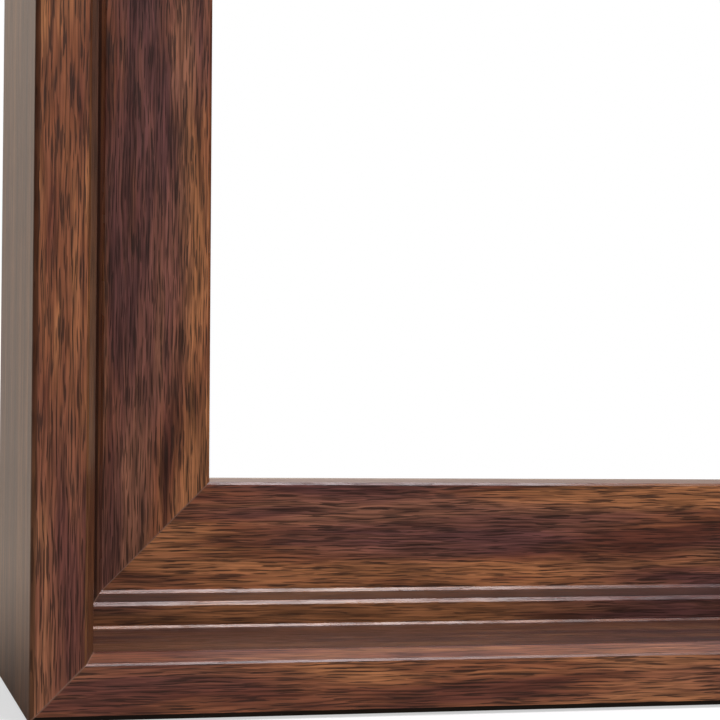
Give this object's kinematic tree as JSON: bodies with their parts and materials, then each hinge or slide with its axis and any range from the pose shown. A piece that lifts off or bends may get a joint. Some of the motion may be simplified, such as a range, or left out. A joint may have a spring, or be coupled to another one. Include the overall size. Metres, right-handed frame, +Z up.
{
  "type": "floating picture frame",
  "caption": "Deep mitred wooden floating frame with a narrow front lip, stepped liner and ledge for a canvas, hung from D-rings on its back.",
  "frame": {"origin": "on the surface that the frame stands on, at the middle of its overall width and depth", "axes": "+X across the frame to the viewer's right, +Y from the front to the back, +Z up the stiles"},
  "size_m": [0.2244, 0.054, 0.2744],
  "materials": {
    "outer_wood": "dark walnut stain, satin lacquer",
    "liner_wood": "dark walnut stain, satin lacquer",
    "zinc_steel": "zinc plated",
    "ring_steel": "zinc plated wire",
    "nail_steel": "plain spring steel"
  },
  "bodies": {
    "frame": {"outer_left_stile": "outer_wood", "outer_right_stile": "outer_wood", "outer_top_rail": "outer_wood", "outer_bottom_rail": "outer_wood", "liner_left_stile": "liner_wood", "liner_right_stile": "liner_wood", "liner_top_rail": "liner_wood", "liner_bottom_rail": "liner_wood", "outer_v_nail_lower_left": "nail_steel", "outer_v_nail_lower_right": "nail_steel", "outer_v_nail_upper_left": "nail_steel", "outer_v_nail_upper_right": "nail_steel", "block_v_nail_lower_left": "nail_steel", "block_v_nail_lower_right": "nail_steel", "block_v_nail_upper_left": "nail_steel", "block_v_nail_upper_right": "nail_steel", "ledge_v_nail_lower_left": "nail_steel", "ledge_v_nail_lower_right": "nail_steel", "ledge_v_nail_upper_left": "nail_steel", "ledge_v_nail_upper_right": "nail_steel", "left_stile_screw_1": "zinc_steel", "left_stile_screw_2": "zinc_steel", "left_stile_screw_3": "zinc_steel", "right_stile_screw_1": "zinc_steel", "right_stile_screw_2": "zinc_steel", "right_stile_screw_3": "zinc_steel", "top_rail_screw_1": "zinc_steel", "top_rail_screw_2": "zinc_steel", "bottom_rail_screw_1": "zinc_steel", "bottom_rail_screw_2": "zinc_steel", "left_hanger_strap": "zinc_steel", "right_hanger_strap": "zinc_steel", "left_hanger_screw": "zinc_steel", "right_hanger_screw": "zinc_steel"},
    "left_ring": {"left_hanger_ring": "ring_steel"},
    "right_ring": {"right_hanger_ring": "ring_steel"}
  },
  "joints": [
    {"name": "left_ring_swing", "type": "hinge", "parent": "frame", "child": "left_ring", "pos_m": [-0.1011, 0.0188, 0.1894], "axis": [1, 0, 0], "range_deg": [0, 174]},
    {"name": "right_ring_swing", "type": "hinge", "parent": "frame", "child": "right_ring", "pos_m": [0.1011, 0.0188, 0.1894], "axis": [1, 0, 0], "range_deg": [0, 174]}
  ]
}
